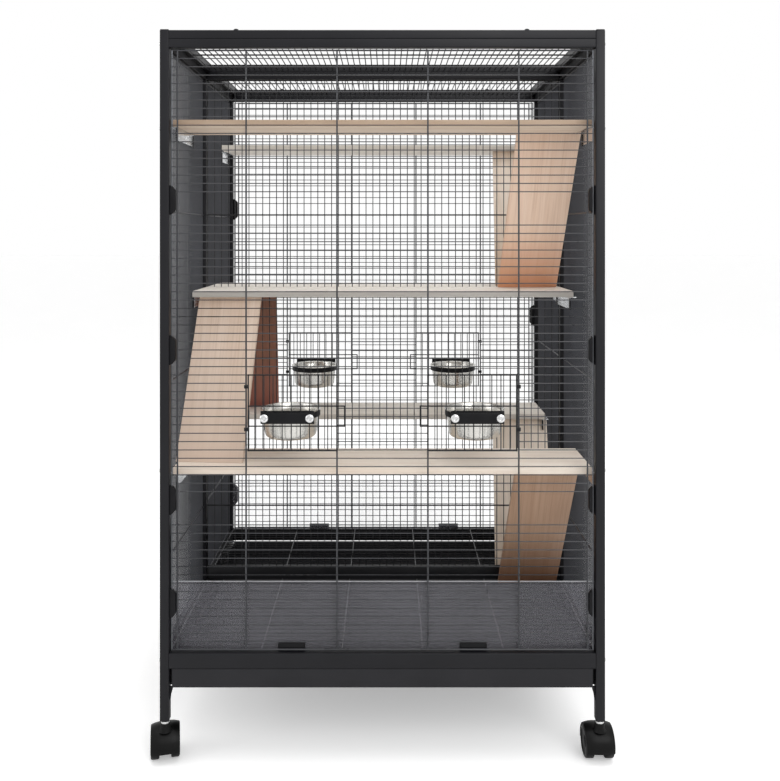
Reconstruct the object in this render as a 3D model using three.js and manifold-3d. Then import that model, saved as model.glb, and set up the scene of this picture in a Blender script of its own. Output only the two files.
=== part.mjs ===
// A tall two-sided ferret cage on casters, in millimetres, +Z up.
// The origin is on the floor under the middle of the cage; the front faces -Y.
import * as THREE from 'three';
import { mergeVertices } from 'three/addons/utils/BufferGeometryUtils.js';
import Module from 'manifold-3d';

const wasm = await Module();
wasm.setup();

// ---- frame of square tube ----
const cageWidth = 975;            // over the posts
const cageDepth = 806;            // over the posts
const cageHeight = 1606;          // floor to the top of the roof frame
const tube = 20;                  // side of the square tube
const capRise = 2;                // post cap above the roof frame
const seat = 0.3;                 // gap between pieces that rest on each other
const topRailHeight = 19;         // lower half of the top edge
const roofFrameHeight = 19;       // upper half of the top edge
const legFoot = 92;               // floor to the foot of a post
const bottomRailBase = 208;       // floor to the underside of the bottom rails
const bottomRailHeight = 33.5;

// ---- wire ----
const wire = 3;                   // panel thickness and thin wire
const stoutWire = 4;              // uprights and borders
const doorGaps = 72;              // gaps between the door's level wires, on the real cage
const wiresPerBar = 8;            // real wires that one bar of the solid stands for
const doorUprights = [-300, -100, 100, 300];

// ---- doors ----
const doorHalfWidth = 453;        // middle of the door to its border's outer edge
const rodReach = 463;             // middle of the door to its hinge rod and its latch rod
const rodRadius = 2.5;
const rodPlay = 0.4;              // running clearance of a rod in its block
const doorFootGap = 2.5;          // bottom rail to door
const doorHeadGap = 3;            // door to top rail
const blockGaps = [5.6, 18, 36, 54];      // level wires at the middles of the blocks
const blockHeight = 60;
const blockDepth = 12;
const blockReach = 11.5;          // block's stand-off from its post
const stubGaps = [2, 12, 27, 45, 68];     // level wires that reach out to the rods

// ---- feeder hatches, bowls and their clamps ----
const hatchFirstGap = 24;         // level wires below and above the hatch opening
const hatchLastGap = 33;
const hatchOffset = 4.5;          // door plane to hatch plane
const hatchLap = 2;               // hatch border over the opening's edge
const hatchHingeGap = 3;          // hinge axis to the hatch's edge
const hatchEyePlay = 0.4;         // door upright to the eyes that turn on it
const hatchEyeWall = 2;
const hatchEyeHeight = 8;
const hatchEyeRises = [45, 139];  // opening's foot to the eyes
const hatchUprights = 3;
const latchReach = 17;            // latch loop past the hatch
const latchRises = [53, 97];      // opening's foot to the latch loop's arms
const bowlOffset = 9;             // hatch's middle to the bowl, towards the hinge
const bowlRim = 68.5;              // outer radius of the rolled rim
const bowlBody = 62.5;            // radius under the rim
const bowlFoot = 47;
const bowlHeight = 64;
const bowlBellyRise = 18;         // foot to the belly
const bowlBellyInset = 3;         // belly to the body's radius
const bowlLipDrop = 4;            // rim to the underside of the lip
const bowlLipEdge = 3.4;          // height of the lip's outer edge
const bowlWall = 1.5;
const bowlStandoff = 73.5;         // hatch plane to the bowl's middle
const clampRingRise = 75;         // opening's foot to the top of the ring
const clampRingHeight = 12;
const clampRingWall = 3.5;
const clampPlay = 0.6;            // bowl to ring
const clampBarWidth = 118;
const clampBarHeight = 29;
const clampBarThickness = 5.7;
const clampBarRise = 71.5;        // opening's foot to the middle of the bar and of the screws
const clampPinSpread = 100;
const clampPinRadius = 3;

// ---- clear screen and its clips ----
const screenHeight = 150;
const screenThickness = 3;
const screenInset = 7;            // door plane to the screen's outer face
const clipSpread = 400;
const clipWidth = 60;
const clipHeight = 17.5;
const clipThickness = 4.5;

// ---- shelves and ramps ----
const shelfThickness = 15;
const shelfDepth = 172;
const shelfHalfLength = 467;
const outerShelfInset = 25;       // door plane to the front edge of an outer shelf
const middleShelfGap = 4;         // divider plane to the back edge of a middle shelf
const upperShelfDrop = 192;       // roof to the top of the shelf
const middleShelfTop = 1019;
const lowerShelfTop = 639;
const angleLeg = 30;              // upright leg of the shelf angle
const angleFoot = 17;             // level leg of the shelf angle
const angleWall = 2;
const angleLength = 120;
const angleShift = 15;            // shelf's middle to the angle's, away from the ramp's head
const rampWidth = 155;
const rampThickness = 10;
const rampOffset = 387;           // middle of the cage to the middle of a ramp
const rampTurn = 5;               // degrees that a ramp's outer end stands closer to the side panel
const outerHeadInset = 33;        // back edge of an outer shelf to the head of the ramp under it
const upperFootInset = 16;        // back edge of the middle shelf to the foot on it
const middleHeadInset = 36;       // front edge of the middle shelf to the head under it
const middleFootInset = 46;       // front edge of the lower shelf to the foot on it
const lowerFootInset = 20;        // divider plane to the foot on the floor

// ---- side panels, divider, roof and floor ----
const sideBars = 5;               // gaps across one half of a side panel
const sideLevels = 4;             // gaps up a side panel
const dividerBars = 13;
const dividerLevels = [439, 829, 1209];
const sillHeight = 34;
const sillThickness = 10;
const roofBars = 12;
const roofMeshRise = 6;           // underside of the roof frame to the middle of its wires
const floorBars = 5;
const floorCrossBars = 7;

// ---- tray and its runners ----
const trayHalfWidth = 461;
const trayHeight = 41;
const trayWall = 2;
const trayLedgeGap = 1;           // tray rim to the bottom rail
const runnerWall = 2;
const runnerLedge = 18;

// ---- casters ----
const wheelRadius = 33.5;
const wheelWidth = 19;
const wheelSpread = 25;           // between the two wheels
const wheelFacets = 20;
const wheelEdge = 4;
const axleRadius = 4;
const axlePlay = 0.5;
const trail = 20;                 // stem to axle
const hoodRadius = 40.5;
const hoodWidth = 63;
const hoodTaper = 3.5;
const hoodSkirt = 8;              // hood below the axle
const wheelClearance = 1.6;       // wheel to hood
const bossRadius = 11;
const stemRadius = 5;
const stemInsert = 28;            // stem inside the post
const stemPlay = 0.4;
const casterTurn = [14, 0];       // degrees that the left and right caster stand swivelled

// ---- places that follow from the sizes ----
const half = tube / 2;
const postX = cageWidth / 2 - half;
const doorPlane = cageDepth / 2 - half;
const innerX = cageWidth / 2 - tube;
const innerY = cageDepth / 2 - tube;
const floorLevel = bottomRailBase + bottomRailHeight;
const roofBase = cageHeight - roofFrameHeight;
const topRailBase = roofBase - topRailHeight;
const doorFoot = floorLevel + doorFootGap;
const doorHead = topRailBase - doorHeadGap;
const gapHeight = (doorHead - doorFoot - wire) / doorGaps;
const levelOf = (gap) => doorFoot + wire / 2 + gap * gapHeight;
const hatchX = (doorUprights[2] + doorUprights[3]) / 2;
const hatchWidth = doorUprights[3] - doorUprights[2];
const openingFoot = levelOf(hatchFirstGap);
const latchLevels = latchRises.map((rise) => openingFoot + rise);
const clampRingTop = openingFoot + clampRingRise;
const upperShelfTop = cageHeight - upperShelfDrop;
const outerShelfFront = -doorPlane + outerShelfInset;
const outerShelfBack = outerShelfFront + shelfDepth;
const middleShelfFront = -middleShelfGap - shelfDepth;
const upperRampRun = [outerShelfBack - outerHeadInset, -middleShelfGap - upperFootInset];
const middleRampRun = [middleShelfFront + middleHeadInset, outerShelfFront + middleFootInset];
const lowerRampRun = [outerShelfBack - outerHeadInset, -lowerFootInset];
const axleLevel = wheelRadius * Math.cos(Math.PI / wheelFacets);

// ---- finishes ----
const finish = (color, roughness, metalness) => new THREE.MeshStandardMaterial({ color, roughness, metalness });
const charcoalPaint = finish(0x2b2b2d, 0.5, 0.3);
const blackPlastic = finish(0x161618, 0.45, 0);
const birchPly = finish(0xd9bfa6, 0.65, 0);
const steel = finish(0xc9c9c6, 0.22, 1);
const clearAcrylic = new THREE.MeshStandardMaterial({ color: 0xaab0b8, roughness: 0.1, transparent: true, opacity: 0.3 });

// ---- solid operations ----
function toSolid(geometry) {
  const bare = geometry.clone();
  bare.deleteAttribute('normal');
  bare.deleteAttribute('uv');
  const merged = mergeVertices(bare, 1e-4);
  return new wasm.Manifold(new wasm.Mesh({
    numProp: 3,
    vertProperties: new Float32Array(merged.attributes.position.array),
    triVerts: new Uint32Array(merged.index.array),
  }));
}

function toGeometry(solid) {
  const { vertProperties, triVerts } = solid.getMesh();
  const geometry = new THREE.BufferGeometry();
  geometry.setAttribute('position', new THREE.BufferAttribute(new Float32Array(vertProperties), 3));
  geometry.setIndex(new THREE.BufferAttribute(new Uint32Array(triVerts), 1));
  geometry.computeVertexNormals();
  return geometry;
}

function join(...geometries) {
  return toGeometry(geometries.map(toSolid).reduce((whole, next) => whole.add(next)));
}

function cut(geometry, ...tools) {
  return toGeometry(tools.map(toSolid).reduce((whole, tool) => whole.subtract(tool), toSolid(geometry)));
}

// ---- shapes ----
// A block between two corners.
function block([x0, x1], [y0, y1], [z0, z1]) {
  const geometry = new THREE.BoxGeometry(x1 - x0, y1 - y0, z1 - z0);
  return geometry.translate((x0 + x1) / 2, (y0 + y1) / 2, (z0 + z1) / 2);
}

function outline(points) {
  return new THREE.Shape(points.map(([u, v]) => new THREE.Vector2(u, v)));
}

// A profile in Y and Z, drawn out along X.
function alongX(points, x0, x1) {
  const geometry = new THREE.ExtrudeGeometry(outline(points), { depth: x1 - x0, bevelEnabled: false });
  geometry.rotateZ(Math.PI / 2).rotateY(Math.PI / 2);
  return geometry.translate(x0, 0, 0);
}

// A profile in X and Z, drawn out along Y.
function alongY(points, y0, y1) {
  const geometry = new THREE.ExtrudeGeometry(outline(points), { depth: y1 - y0, bevelEnabled: false });
  geometry.rotateX(Math.PI / 2);
  return geometry.translate(0, y1, 0);
}

function upright(radius, z0, z1, sides) {
  const geometry = new THREE.CylinderGeometry(radius, radius, z1 - z0, sides);
  return geometry.rotateX(Math.PI / 2).translate(0, 0, (z0 + z1) / 2);
}

// A radius whose facets lie outside the round hole of this radius.
const around = (radius, sides) => radius / Math.cos(Math.PI / sides);

// A bar of a lattice: the place of its middle and its width.
const bar = (at, width) => ({ at, width });

function evenBars(from, to, gaps, width) {
  const inner = [];
  for (let i = 1; i < gaps; i += 1) inner.push(bar(from + ((to - from) * i) / gaps, width));
  return [bar(from + width / 2, width), ...inner, bar(to - width / 2, width)];
}

// Crossed bars in one flat sheet. passes(column, level) names the level bars that a column lacks.
function lattice(uprights, levels, thickness, passes = () => false) {
  const left = uprights[0];
  const right = uprights.at(-1);
  const low = levels[0];
  const high = levels.at(-1);
  const sheet = block(
    [left.at - left.width / 2, right.at + right.width / 2],
    [low.at - low.width / 2, high.at + high.width / 2],
    [-thickness / 2, thickness / 2],
  );
  const gaps = [];
  for (let column = 0; column + 1 < uprights.length; column += 1) {
    const u0 = uprights[column].at + uprights[column].width / 2;
    const u1 = uprights[column + 1].at - uprights[column + 1].width / 2;
    let below = low;
    for (const level of levels.slice(1)) {
      if (passes(column, level.at)) continue;
      gaps.push(block([u0, u1], [below.at + below.width / 2, level.at - level.width / 2], [-thickness, thickness]));
      below = level;
    }
  }
  return cut(sheet, ...gaps);
}

// A lattice that stands in the XZ plane, in the YZ plane, or lies flat.
const standing = (geometry) => geometry.rotateX(Math.PI / 2);
const standingAcross = (geometry) => geometry.rotateX(Math.PI / 2).rotateZ(Math.PI / 2);

function place(parent, name, geometry, material, position = [0, 0, 0]) {
  const mesh = new THREE.Mesh(geometry, material);
  mesh.name = name;
  mesh.position.set(...position);
  parent.add(mesh);
  return mesh;
}

// ---- posts: a tube with its cap, its four blocks and the socket of the caster ----
function postGeometry(towards, slotted) {
  const body = block([-half, half], [-half, half], [legFoot, cageHeight + capRise]);
  const rodX = (postX - rodReach) * towards;
  const blocks = blockGaps.map((gap) => {
    const level = levelOf(gap);
    const reach = [half * towards, (half + blockReach) * towards].sort((a, b) => a - b);
    const height = [level - blockHeight / 2, level + blockHeight / 2];
    const knuckle = block(reach, [-blockDepth / 2, blockDepth / 2], height);
    const room = around(rodRadius + rodPlay, 12);
    const hole = upright(room, height[0] - 1, height[1] + 1, 12).translate(rodX, 0, 0);
    if (!slotted) return cut(knuckle, hole);
    const mouth = block([rodX - room, rodX + room], [-blockDepth, 0], [height[0] - 1, height[1] + 1]);
    return cut(knuckle, hole, mouth);
  });
  const socket = upright(around(stemRadius + stemPlay, 12), legFoot - 1, legFoot + stemInsert + stemPlay, 12);
  return cut(join(body, ...blocks), socket);
}

// ---- bottom rail with the two clips of the clear screen ----
function frontRailGeometry() {
  const rail = block([-innerX, innerX], [-half, half], [bottomRailBase, floorLevel]);
  const clipY = screenInset - seat;
  const clips = [-1, 1].map((side) => block(
    [side * clipSpread / 2 - clipWidth / 2, side * clipSpread / 2 + clipWidth / 2],
    [clipY - clipThickness, clipY],
    [floorLevel - 1, floorLevel + clipHeight],
  ));
  return join(rail, ...clips);
}

// ---- door: lattice, hinge rod, latch rod and the stubs that carry them ----
function doorGeometry() {
  const border = doorHalfWidth - stoutWire / 2;
  const uprights = [-border, ...doorUprights, border].map((x) => bar(x, stoutWire));
  const gaps = [];
  for (let gap = 0; gap <= doorGaps; gap += wiresPerBar) gaps.push(gap);
  const levels = [...new Set([...gaps, hatchFirstGap, hatchLastGap])].sort((a, b) => a - b);
  const passes = (column, at) => {
    const gap = Math.round((at - levelOf(0)) / gapHeight);
    const isHatch = column === 1 || column === 3;
    if (isHatch) return gap > hatchFirstGap && gap < hatchLastGap;
    return !gaps.includes(gap);
  };
  const mesh = standing(lattice(uprights, levels.map((gap) => bar(levelOf(gap), wire)), wire, passes));
  const extras = [];
  for (const side of [-1, 1]) {
    extras.push(upright(rodRadius, doorFoot, doorHead, 8).translate(side * rodReach, 0, 0));
    const reach = [side * rodReach, side * border].sort((a, b) => a - b);
    for (const gap of stubGaps) {
      const level = levelOf(gap);
      extras.push(block(reach, [-wire / 2, wire / 2], [level - wire / 2, level + wire / 2]));
    }
  }
  return join(mesh, ...extras);
}

// ---- feeder hatch: a small lattice with two eyes round the door's upright and a latch loop ----
function hatchGeometry(latchSide) {
  const low = openingFoot - hatchLap;
  const high = levelOf(hatchLastGap) + hatchLap;
  const reach = hatchWidth / 2;
  const edges = [-latchSide * (reach - hatchHingeGap), latchSide * (reach + hatchLap)].sort((a, b) => a - b);
  const uprights = evenBars(...edges, hatchUprights + 1, wire);
  const levels = [low, ...latchLevels, high].map((z) => bar(z, wire));
  const mesh = standing(lattice(uprights, levels, wire));
  const end = (reach + latchReach) * latchSide;
  const arms = latchLevels.map((level) => {
    const span = [reach * latchSide, end].sort((a, b) => a - b);
    return block(span, [-wire / 2, wire / 2], [level - wire / 2, level + wire / 2]);
  });
  const bend = block([end - wire / 2, end + wire / 2], [-wire / 2, wire / 2],
    [latchLevels[0] - wire / 2, latchLevels[1] + wire / 2]);
  const eyeRadius = Math.hypot(stoutWire, wire) / 2 + hatchEyePlay;
  const eyes = hatchEyeRises.map((rise) => {
    const heights = [openingFoot + rise - hatchEyeHeight / 2, openingFoot + rise + hatchEyeHeight / 2];
    const ring = upright(eyeRadius + hatchEyeWall, ...heights, 8);
    const bore = upright(around(eyeRadius, 8), heights[0] - 1, heights[1] + 1, 8);
    return cut(ring, bore).translate(-latchSide * reach, hatchOffset, 0);
  });
  return join(mesh, ...arms, bend, ...eyes);
}

// ---- bowl: spun steel with a rolled rim ----
function bowlGeometry() {
  const rim = bowlHeight;
  const belly = bowlBody - bowlBellyInset;
  const profile = [
    [0, 0], [bowlFoot, 0], [belly, bowlBellyRise], [bowlBody, rim - bowlLipDrop], [bowlRim, rim - bowlLipEdge],
    [bowlRim, rim], [bowlBody - bowlWall, rim], [belly - bowlWall, bowlBellyRise + bowlWall],
    [bowlFoot - bowlWall, bowlWall], [0, bowlWall],
  ];
  const geometry = new THREE.LatheGeometry(profile.map(([r, z]) => new THREE.Vector2(r, z)), 20);
  return toGeometry(toSolid(geometry.rotateX(Math.PI / 2)));
}

// ---- clamp: an outer bar, two screws through the hatch and the ring that holds the bowl ----
function clampGeometry() {
  const thickness = clampBarThickness;
  const middle = openingFoot + clampBarRise;
  const span = [-clampBarWidth / 2, clampBarWidth / 2];
  const heights = [middle - clampBarHeight / 2, middle + clampBarHeight / 2];
  const outerFace = -wire / 2 - seat;
  const innerFace = wire / 2 + seat;
  const ringRadius = bowlBody + clampPlay + clampRingWall;
  const ringHeights = [clampRingTop - clampRingHeight, clampRingTop];
  const pins = [-1, 1].map((side) => new THREE.CylinderGeometry(clampPinRadius, clampPinRadius, 2 * thickness, 8)
    .translate(side * clampPinSpread / 2, 0, middle));
  const ring = upright(around(ringRadius, 20), ...ringHeights, 20).translate(0, bowlStandoff, 0);
  const bore = upright(around(bowlBody + clampPlay, 20), ringHeights[0] - 1, ringHeights[1] + 1, 20)
    .translate(0, bowlStandoff, 0);
  const rimRoom = upright(around(bowlRim + clampPlay, 20), clampRingTop, heights[1] + 1, 20)
    .translate(0, bowlStandoff, 0);
  const plate = block(span, [innerFace, innerFace + thickness], heights);
  return cut(join(block(span, [outerFace - thickness, outerFace], heights), plate, ...pins, ring), bore, rimRoom);
}

// ---- shelf: a board and the steel angle under each end, shifted along Y ----
function shelfGeometry(shift) {
  const board = block([-shelfHalfLength, shelfHalfLength], [-shelfDepth / 2, shelfDepth / 2], [-shelfThickness, 0]);
  const outer = postX - wire / 2 - seat;
  const top = -shelfThickness;
  const angles = [-1, 1].map((side) => alongY([
    [side * (outer - angleFoot), top + seat / 2], [side * (outer - angleFoot), top - angleWall],
    [side * (outer - angleWall), top - angleWall], [side * (outer - angleWall), top - angleLeg],
    [side * outer, top - angleLeg], [side * outer, top + seat / 2],
  ], shift - angleLength / 2, shift + angleLength / 2));
  return join(board, ...angles);
}

// ---- ramp: a board cut level at both ends, about the middle of its run ----
function rampGeometry(run, headLevel, footLevel) {
  const headY = (run[0] - run[1]) / 2;
  const footY = -headY;
  const rise = headLevel - footLevel;
  const cutWidth = (rampThickness * Math.hypot(headY - footY, rise)) / rise;
  return alongX([
    [headY - cutWidth / 2, headLevel], [footY - cutWidth / 2, footLevel],
    [footY + cutWidth / 2, footLevel], [headY + cutWidth / 2, headLevel],
  ], -rampWidth / 2, rampWidth / 2);
}

// ---- caster ----
function wheelsGeometry() {
  const inner = wheelSpread / 2;
  const outer = inner + wheelWidth;
  const profile = [
    [0, -outer], [wheelRadius - wheelEdge, -outer], [wheelRadius, -outer + wheelEdge], [wheelRadius, -inner],
    [axleRadius, -inner], [axleRadius, inner],
    [wheelRadius, inner], [wheelRadius, outer - wheelEdge], [wheelRadius - wheelEdge, outer], [0, outer],
  ];
  const points = profile.map(([r, x]) => new THREE.Vector2(r, x));
  const geometry = new THREE.LatheGeometry(points, wheelFacets, Math.PI / wheelFacets);
  return toGeometry(toSolid(geometry.rotateZ(-Math.PI / 2)));
}

function hoodGeometry() {
  const side = hoodWidth / 2;
  const barrel = [[0, -side], [hoodRadius - hoodTaper, -side], [hoodRadius, -side / 2], [hoodRadius, side / 2],
    [hoodRadius - hoodTaper, side], [0, side]];
  const shell = new THREE.LatheGeometry(barrel.map(([r, x]) => new THREE.Vector2(r, x)), 20).rotateZ(-Math.PI / 2);
  const web = wheelSpread / 2 - wheelClearance;
  const wells = [-1, 1].map((s) => {
    const well = new THREE.CylinderGeometry(wheelRadius + wheelClearance, wheelRadius + wheelClearance, side, 20);
    return well.rotateZ(Math.PI / 2).translate(s * (web + side / 2), 0, 0);
  });
  const axleHole = new THREE.CylinderGeometry(around(axleRadius + axlePlay, 12), around(axleRadius + axlePlay, 12),
    2 * web + 2, 12).rotateZ(Math.PI / 2);
  const below = block([-side - 1, side + 1], [-hoodRadius - 1, hoodRadius + 1], [-hoodRadius - 1, -hoodSkirt]);
  const body = cut(shell, ...wells, axleHole, below).translate(0, trail, axleLevel);
  const bossFoot = axleLevel + wheelRadius + wheelClearance;
  const boss = upright(bossRadius, bossFoot, legFoot - seat, 16);
  const stem = upright(stemRadius, legFoot - 2, legFoot + stemInsert, 12);
  return join(body, boss, stem);
}

// ---- side panel: two lattices on either side of the middle post ----
function sidePanelGeometry() {
  const foot = floorLevel + seat;
  const head = topRailBase - seat;
  const end = innerY - seat;
  const levels = evenBars(foot, head, sideLevels, wire);
  const panels = [[-end, -half], [half, end]].map(([from, to]) => {
    const uprights = evenBars(from, to, sideBars, wire);
    uprights[0].width += from > 0 ? 1 : 0;
    return standingAcross(lattice(uprights, levels, wire));
  });
  return join(block([-half, half], [-half - 0.5, half + 0.5], [foot, head]), ...panels);
}

function dividerGeometry() {
  const foot = floorLevel + wire + 2 * seat;
  const head = topRailBase - seat;
  const end = innerX - 2 * seat;
  const uprights = evenBars(-end, end, dividerBars, wire);
  const levels = [foot + wire / 2, ...dividerLevels, head - wire / 2].map((z) => bar(z, wire));
  const sill = block([-end, end], [-sillThickness / 2, sillThickness / 2], [foot, foot + sillHeight]);
  return join(standing(lattice(uprights, levels, wire)), sill);
}

// ---- half of the roof: a frame of tube round a lattice ----
function roofGeometry() {
  const end = innerX - seat;
  const near = -cageDepth / 2;
  const far = -seat / 2;
  const meshLevel = roofBase + seat + roofMeshRise;
  const uprights = evenBars(-end + half / 2, end - half / 2, roofBars, wire);
  const levels = evenBars(near + half / 2, far - half / 2, 2, wire);
  const mesh = lattice(uprights, levels, wire).translate(0, 0, meshLevel);
  const heights = [roofBase + seat, cageHeight];
  const frame = block([-end, end], [near, far], heights);
  const opening = block([-end + half, end - half], [near + half, far - half], [heights[0] - 1, heights[1] + 1]);
  return join(cut(frame, opening), mesh);
}

function floorGeometry() {
  const endX = innerX - seat;
  const endY = innerY - seat;
  const mesh = lattice(evenBars(-endX, endX, floorBars, wire), evenBars(-endY, endY, floorCrossBars, wire), wire);
  return mesh.translate(0, 0, floorLevel + wire / 2);
}

function trayGeometry() {
  const top = bottomRailBase - trayLedgeGap;
  const foot = top - trayHeight;
  const y = [-cageDepth / 2 + 2, innerY];
  const outer = block([-trayHalfWidth, trayHalfWidth], y, [foot, top]);
  const hollow = block([-trayHalfWidth + trayWall, trayHalfWidth - trayWall], [y[0] + trayWall, y[1] - trayWall],
    [foot + trayWall, top + 1]);
  return cut(outer, hollow);
}

// ---- side bottom rail: tube, with the runner for the tray and the ledge for the floor ----
function sideRailGeometry() {
  const rail = block([-half, half], [-innerY, innerY], [bottomRailBase, floorLevel]);
  const trayFoot = bottomRailBase - trayLedgeGap - trayHeight;
  const runner = alongY([
    [half - 1, floorLevel - seat], [half - 1, trayFoot - seat - runnerWall],
    [half + runnerLedge, trayFoot - seat - runnerWall], [half + runnerLedge, trayFoot - seat],
    [half + runnerWall, trayFoot - seat], [half + runnerWall, floorLevel - seat],
  ], -innerY, innerY);
  return join(rail, runner);
}

// ---- one face of the cage, with all that stands on its half ----
function addFace(cage, face, turned) {
  const side = new THREE.Group();
  side.rotation.z = turned ? Math.PI : 0;
  cage.add(side);
  // The ramps stand on the same side of the cage in both halves.
  const rampSide = turned ? -1 : 1;
  const y = -doorPlane;

  place(side, `${face}_hinge_post`, postGeometry(1, false), charcoalPaint, [-postX, y, 0]);
  place(side, `${face}_latch_post`, postGeometry(-1, true), charcoalPaint, [postX, y, 0]);
  place(side, `${face}_bottom_rail`, frontRailGeometry(), charcoalPaint, [0, y, 0]);
  const topRail = block([-innerX, innerX], [-half, half], [topRailBase, roofBase]);
  place(side, `${face}_top_rail`, topRail, charcoalPaint, [0, y, 0]);
  place(side, `${face}_roof_panel`, roofGeometry(), charcoalPaint);
  place(side, `${face}_door`, doorGeometry(), charcoalPaint, [0, y, 0]);

  const screenEnd = innerX - seat;
  const screen = block([-screenEnd, screenEnd], [0, screenThickness], [seat, screenHeight]);
  place(side, `${face}_clear_screen`, screen, clearAcrylic, [0, y + screenInset, floorLevel]);

  for (const [label, sign] of [['left', -1], ['right', 1]]) {
    const hatchY = y - hatchOffset;
    const bowlX = sign * (hatchX + bowlOffset);
    place(side, `${face}_${label}_hatch`, hatchGeometry(-sign), charcoalPaint, [sign * hatchX, hatchY, 0]);
    place(side, `${face}_${label}_bowl_clamp`, clampGeometry(), blackPlastic, [bowlX, hatchY, 0]);
    const bowlBase = clampRingTop + seat + bowlLipDrop - bowlHeight;
    place(side, `${face}_${label}_bowl`, bowlGeometry(), steel, [bowlX, hatchY + bowlStandoff, bowlBase]);
  }

  const outerShelfY = (outerShelfFront + outerShelfBack) / 2;
  const middleShelfY = middleShelfFront + shelfDepth / 2;
  place(side, `${face}_upper_shelf`, shelfGeometry(-angleShift), birchPly, [0, outerShelfY, upperShelfTop]);
  place(side, `${face}_middle_shelf`, shelfGeometry(angleShift), birchPly, [0, middleShelfY, middleShelfTop]);
  place(side, `${face}_lower_shelf`, shelfGeometry(-angleShift), birchPly, [0, outerShelfY, lowerShelfTop]);

  const addRamp = (name, sign, run, shelfTop, footLevel) => {
    const ramp = rampGeometry(run, shelfTop - shelfThickness - seat, footLevel + seat);
    const mesh = place(side, `${face}_${name}`, ramp, birchPly, [sign * rampOffset, (run[0] + run[1]) / 2, 0]);
    mesh.rotation.z = sign * THREE.MathUtils.degToRad(rampTurn);
  };
  addRamp('upper_ramp', rampSide, upperRampRun, upperShelfTop, middleShelfTop);
  addRamp('middle_ramp', -rampSide, middleRampRun, middleShelfTop, lowerShelfTop);
  addRamp('lower_ramp', rampSide, lowerRampRun, lowerShelfTop, floorLevel + wire);

  for (const [index, sign] of [-1, 1].entries()) {
    const label = sign < 0 ? 'left' : 'right';
    const caster = new THREE.Group();
    caster.position.set(sign * postX, y, 0);
    caster.rotation.z = THREE.MathUtils.degToRad(casterTurn[index]);
    side.add(caster);
    place(caster, `${face}_${label}_caster_hood`, hoodGeometry(), blackPlastic);
    place(caster, `${face}_${label}_caster_wheels`, wheelsGeometry(), blackPlastic, [0, trail, axleLevel]);
  }
}

const cage = new THREE.Group();
addFace(cage, 'front', false);
addFace(cage, 'back', true);

for (const [label, sign] of [['left', -1], ['right', 1]]) {
  const flank = new THREE.Group();
  flank.position.x = sign * postX;
  flank.rotation.z = sign < 0 ? 0 : Math.PI;
  cage.add(flank);
  const topRail = block([-half, half], [-innerY, innerY], [topRailBase, cageHeight]);
  place(flank, `${label}_top_rail`, topRail, charcoalPaint);
  place(flank, `${label}_bottom_rail`, sideRailGeometry(), charcoalPaint);
  place(flank, `${label}_side_panel`, sidePanelGeometry(), charcoalPaint);
}

const middleRail = block([-innerX + seat, innerX - seat], [-half, half], [topRailBase, roofBase]);
place(cage, 'middle_top_rail', middleRail, charcoalPaint);
place(cage, 'divider', dividerGeometry(), charcoalPaint);
place(cage, 'floor_grille', floorGeometry(), charcoalPaint);
place(cage, 'tray', trayGeometry(), charcoalPaint);

export default cage;
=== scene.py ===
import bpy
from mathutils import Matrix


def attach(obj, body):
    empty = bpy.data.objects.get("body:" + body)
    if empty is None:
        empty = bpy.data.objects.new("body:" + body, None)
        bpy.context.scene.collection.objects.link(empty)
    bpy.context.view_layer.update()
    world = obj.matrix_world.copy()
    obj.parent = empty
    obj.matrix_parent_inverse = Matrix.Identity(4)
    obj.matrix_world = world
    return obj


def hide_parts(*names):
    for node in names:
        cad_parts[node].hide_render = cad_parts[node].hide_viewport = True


bl_info = {
    "name": "Ferret Cage",
    "version": (1, 0, 0),
    "blender": (4, 5, 0),
    "location": "3D View > Sidebar > Cage",
    "description": "Builds the wires, boards, bowls and casters of a tall two-sided ferret cage",
    "category": "Add Mesh",
}

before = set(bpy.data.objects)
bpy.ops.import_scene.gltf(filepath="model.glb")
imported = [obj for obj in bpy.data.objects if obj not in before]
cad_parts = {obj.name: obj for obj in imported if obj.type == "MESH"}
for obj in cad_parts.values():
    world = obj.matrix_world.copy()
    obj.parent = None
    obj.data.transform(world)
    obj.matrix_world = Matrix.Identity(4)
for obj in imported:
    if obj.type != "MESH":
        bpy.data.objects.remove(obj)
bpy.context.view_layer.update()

import math

import bmesh
import bpy
from bpy.props import FloatProperty, FloatVectorProperty, IntProperty, PointerProperty
from mathutils import Matrix, Vector

MM = 0.001
FACES = ("front", "back")
SIDES = (("left", -1), ("right", 1))


# ---------------------------------------------------------------- colours and materials
def srgb(code):
    """A written colour such as #2b2b2d as linear red, green, blue and alpha."""
    parts = [int(code[i:i + 2], 16) / 255 for i in (1, 3, 5)]
    return tuple(v / 12.92 if v <= 0.04045 else ((v + 0.055) / 1.055) ** 2.4 for v in parts) + (1.0,)


def add_node(tree, kind, inputs=None, **settings):
    """A new node with its settings made and its inputs set or linked."""
    node = tree.nodes.new(kind)
    for name, value in settings.items():
        setattr(node, name, value)
    for name, value in (inputs or {}).items():
        if isinstance(value, bpy.types.NodeSocket):
            tree.links.new(value, node.inputs[name])
        else:
            node.inputs[name].default_value = value
    return node


def new_material(name):
    """An empty material with its object coordinates; its output comes with finish_material."""
    material = bpy.data.materials.new(name)
    material.use_nodes = True
    tree = material.node_tree
    tree.nodes.clear()
    coords = add_node(tree, "ShaderNodeTexCoord").outputs["Object"]
    return material, tree, coords


def finish_material(material, tree, shader):
    add_node(tree, "ShaderNodeOutputMaterial", {"Surface": shader})
    return material


def principled(material, tree, inputs):
    """The material, finished with one surface shader."""
    return finish_material(material, tree, add_node(tree, "ShaderNodeBsdfPrincipled", inputs).outputs["BSDF"])


def maths(tree, operation, first, second=0.0):
    return add_node(tree, "ShaderNodeMath", {0: first, 1: second}, operation=operation).outputs[0]


def height_of(tree, vector):
    return add_node(tree, "ShaderNodeSeparateXYZ", {"Vector": vector}).outputs["Z"]


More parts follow.
